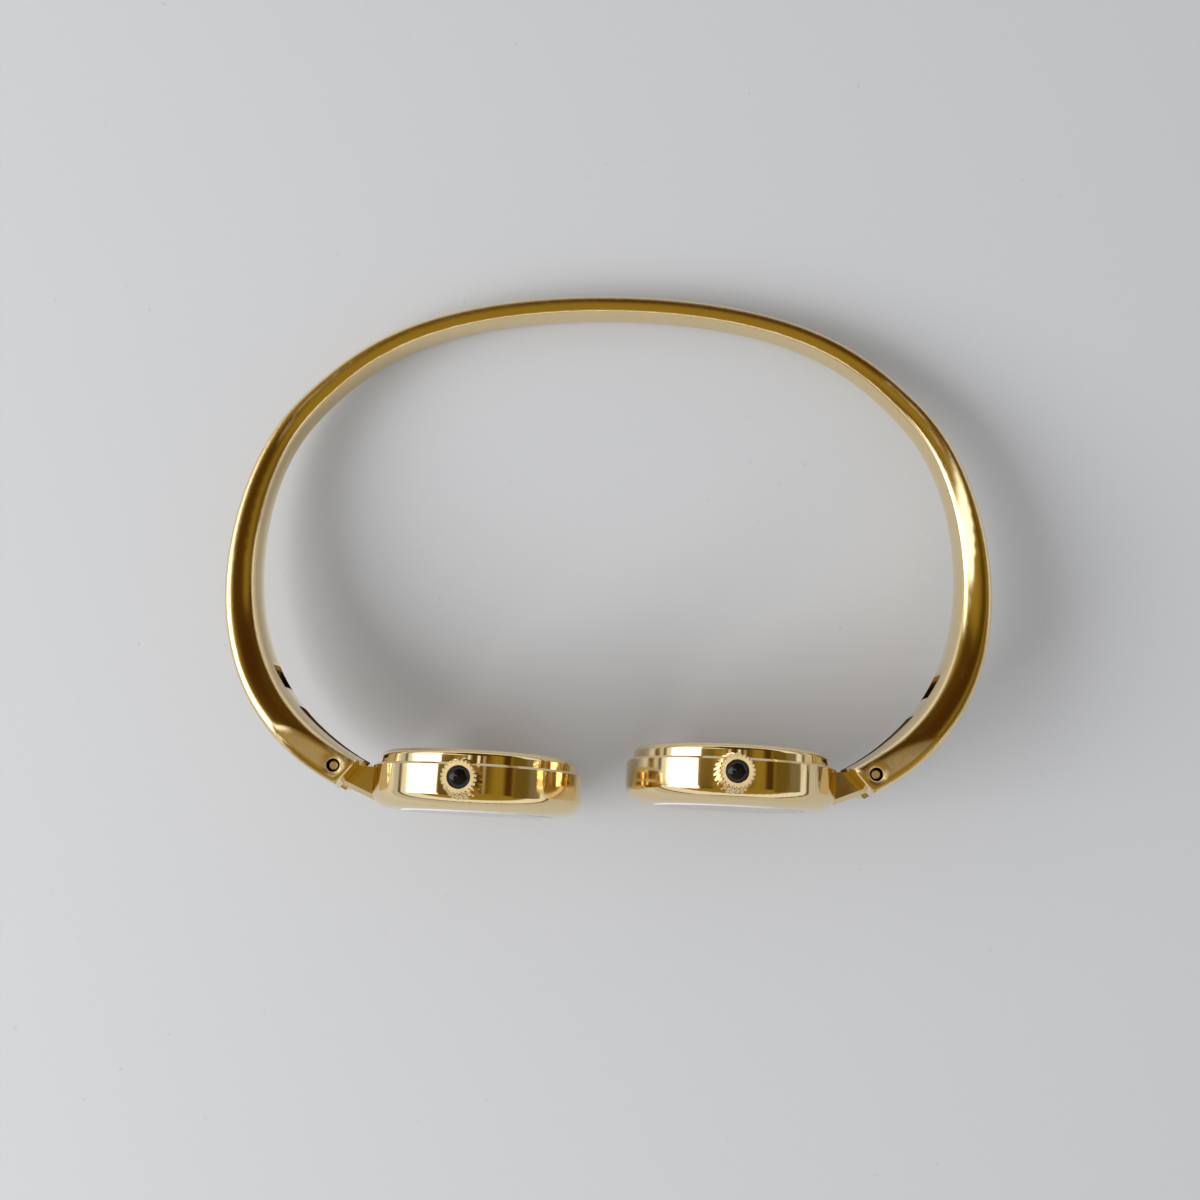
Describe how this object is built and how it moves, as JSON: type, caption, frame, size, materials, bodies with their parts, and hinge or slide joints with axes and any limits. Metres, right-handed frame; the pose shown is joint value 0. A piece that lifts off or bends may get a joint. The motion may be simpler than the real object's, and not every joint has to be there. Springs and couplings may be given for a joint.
{
  "type": "bangle watch",
  "caption": "Sprung open bangle in polished yellow gold with a round watch head hinged at each end, cabochon crowns and a quartz movement in each case.",
  "frame": {"origin": "centre of the wrist opening, at the middle of the band's width", "axes": "+X from the left head to the right head, +Y from the heads to the back of the band, +Z along the hinge pins, the way that both crowns point"},
  "size_m": [0.0681, 0.0476, 0.0218],
  "materials": {
    "polished_gold": "mirror polished",
    "spring_steel": "satin",
    "crystal_glass": "polished",
    "seal": "matte",
    "dial": "satin",
    "hands": "polished",
    "holder": "matte",
    "movement_brass": "satin",
    "steel": "polished",
    "copper": "enamelled wire",
    "board": "satin",
    "battery": "satin",
    "black_stone": "polished"
  },
  "bodies": {
    "bangle": {"band": "polished_gold", "hinge_pins": "polished_gold", "left_leaf_spring": "spring_steel", "right_leaf_spring": "spring_steel"},
    "left_head": {"left_case": "polished_gold", "left_case_back": "polished_gold", "left_back_gasket": "seal", "left_crystal": "crystal_glass", "left_crystal_gasket": "seal", "left_dial": "dial", "left_movement_holder": "holder", "left_mainplate": "movement_brass", "left_train_bridge": "movement_brass", "left_stator": "steel", "left_coil": "copper", "left_circuit_board": "board", "left_battery": "battery", "left_battery_strap": "steel", "left_crown_tube": "steel"},
    "left_minute": {"left_minute_hand": "hands", "left_cannon_pinion": "steel", "left_centre_wheel": "movement_brass"},
    "left_minute_wheel": {"left_minute_wheel": "movement_brass"},
    "left_hour": {"left_hour_hand": "hands", "left_hour_wheel": "movement_brass"},
    "left_train_wheel": {"left_train_wheel": "movement_brass"},
    "left_rotor": {"left_rotor": "steel"},
    "left_crown_sleeve": {"left_sliding_pinion": "steel"},
    "left_crown": {"left_crown": "polished_gold", "left_crown_stem": "steel", "left_crown_gasket": "seal", "left_crown_cabochon": "black_stone"},
    "right_head": {"right_case": "polished_gold", "right_case_back": "polished_gold", "right_back_gasket": "seal", "right_crystal": "crystal_glass", "right_crystal_gasket": "seal", "right_dial": "dial", "right_movement_holder": "holder", "right_mainplate": "movement_brass", "right_train_bridge": "movement_brass", "right_stator": "steel", "right_coil": "copper", "right_circuit_board": "board", "right_battery": "battery", "right_battery_strap": "steel", "right_crown_tube": "steel"},
    "right_minute": {"right_minute_hand": "hands", "right_cannon_pinion": "steel", "right_centre_wheel": "movement_brass"},
    "right_minute_wheel": {"right_minute_wheel": "movement_brass"},
    "right_hour": {"right_hour_hand": "hands", "right_hour_wheel": "movement_brass"},
    "right_train_wheel": {"right_train_wheel": "movement_brass"},
    "right_rotor": {"right_rotor": "steel"},
    "right_crown_sleeve": {"right_sliding_pinion": "steel"},
    "right_crown": {"right_crown": "polished_gold", "right_crown_stem": "steel", "right_crown_gasket": "seal", "right_crown_cabochon": "black_stone"}
  },
  "joints": [
    {"name": "left_head_hinge", "type": "hinge", "parent": "bangle", "child": "left_head", "pos_m": [-0.02295, -0.022, 0], "axis": [0, 0, -1], "range_deg": [0, 35], "stiffness_Nm_per_rad": 0.02, "springref_deg": -20.05, "deforming": ["left_leaf_spring"]},
    {"name": "left_minute_spin", "type": "hinge", "parent": "left_head", "child": "left_minute", "pos_m": [-0.01101, -0.02242, 0], "axis": [0.0349, 0.9994, 0], "continuous": true},
    {"name": "left_minute_wheel_spin", "type": "hinge", "parent": "left_head", "child": "left_minute_wheel", "pos_m": [-0.01141, -0.0224, 0.00176], "axis": [0.0349, 0.9994, 0], "continuous": true},
    {"name": "left_hour_spin", "type": "hinge", "parent": "left_head", "child": "left_hour", "pos_m": [-0.01101, -0.02242, 0], "axis": [0.0349, 0.9994, 0], "continuous": true},
    {"name": "left_train_wheel_spin", "type": "hinge", "parent": "left_head", "child": "left_train_wheel", "pos_m": [-0.00921, -0.02248, -0.00084], "axis": [0.0349, 0.9994, 0], "continuous": true},
    {"name": "left_rotor_spin", "type": "hinge", "parent": "left_head", "child": "left_rotor", "pos_m": [-0.00843, -0.02251, -0.0023], "axis": [0.0349, 0.9994, 0], "continuous": true},
    {"name": "left_crown_turn", "type": "hinge", "parent": "left_head", "child": "left_crown_sleeve", "pos_m": [-0.01144, -0.02326, 0], "axis": [0, 0, 1], "continuous": true},
    {"name": "left_crown_pull", "type": "slide", "parent": "left_crown_sleeve", "child": "left_crown", "axis": [0, 0, 1], "range_m": [0, 0.0007]},
    {"name": "right_head_hinge", "type": "hinge", "parent": "bangle", "child": "right_head", "pos_m": [0.02295, -0.022, 0], "axis": [0, 0, 1], "range_deg": [0, 35], "stiffness_Nm_per_rad": 0.02, "springref_deg": -20.05, "deforming": ["right_leaf_spring"]},
    {"name": "right_minute_spin", "type": "hinge", "parent": "right_head", "child": "right_minute", "pos_m": [0.01101, -0.02158, 0], "axis": [0.0349, 0.9994, 0], "continuous": true},
    {"name": "right_minute_wheel_spin", "type": "hinge", "parent": "right_head", "child": "right_minute_wheel", "pos_m": [0.01061, -0.02157, 0.00176], "axis": [0.0349, 0.9994, 0], "continuous": true},
    {"name": "right_hour_spin", "type": "hinge", "parent": "right_head", "child": "right_hour", "pos_m": [0.01101, -0.02158, 0], "axis": [0.0349, 0.9994, 0], "continuous": true},
    {"name": "right_train_wheel_spin", "type": "hinge", "parent": "right_head", "child": "right_train_wheel", "pos_m": [0.01281, -0.02165, -0.00084], "axis": [0.0349, 0.9994, 0], "continuous": true},
    {"name": "right_rotor_spin", "type": "hinge", "parent": "right_head", "child": "right_rotor", "pos_m": [0.01359, -0.02167, -0.0023], "axis": [0.0349, 0.9994, 0], "continuous": true},
    {"name": "right_crown_turn", "type": "hinge", "parent": "right_head", "child": "right_crown_sleeve", "pos_m": [0.01058, -0.02243, 0], "axis": [0, 0, 1], "continuous": true},
    {"name": "right_crown_pull", "type": "slide", "parent": "right_crown_sleeve", "child": "right_crown", "axis": [0, 0, 1], "range_m": [0, 0.0007]}
  ],
  "couplings": [
    {"joint": "left_minute_wheel_spin", "follows": "left_minute_spin", "ratio": -0.33333},
    {"joint": "left_hour_spin", "follows": "left_minute_spin", "ratio": 0.083333},
    {"joint": "left_train_wheel_spin", "follows": "left_minute_spin", "ratio": -10},
    {"joint": "left_rotor_spin", "follows": "left_minute_spin", "ratio": 90},
    {"joint": "right_minute_wheel_spin", "follows": "right_minute_spin", "ratio": -0.33333},
    {"joint": "right_hour_spin", "follows": "right_minute_spin", "ratio": 0.083333},
    {"joint": "right_train_wheel_spin", "follows": "right_minute_spin", "ratio": -10},
    {"joint": "right_rotor_spin", "follows": "right_minute_spin", "ratio": 90}
  ]
}
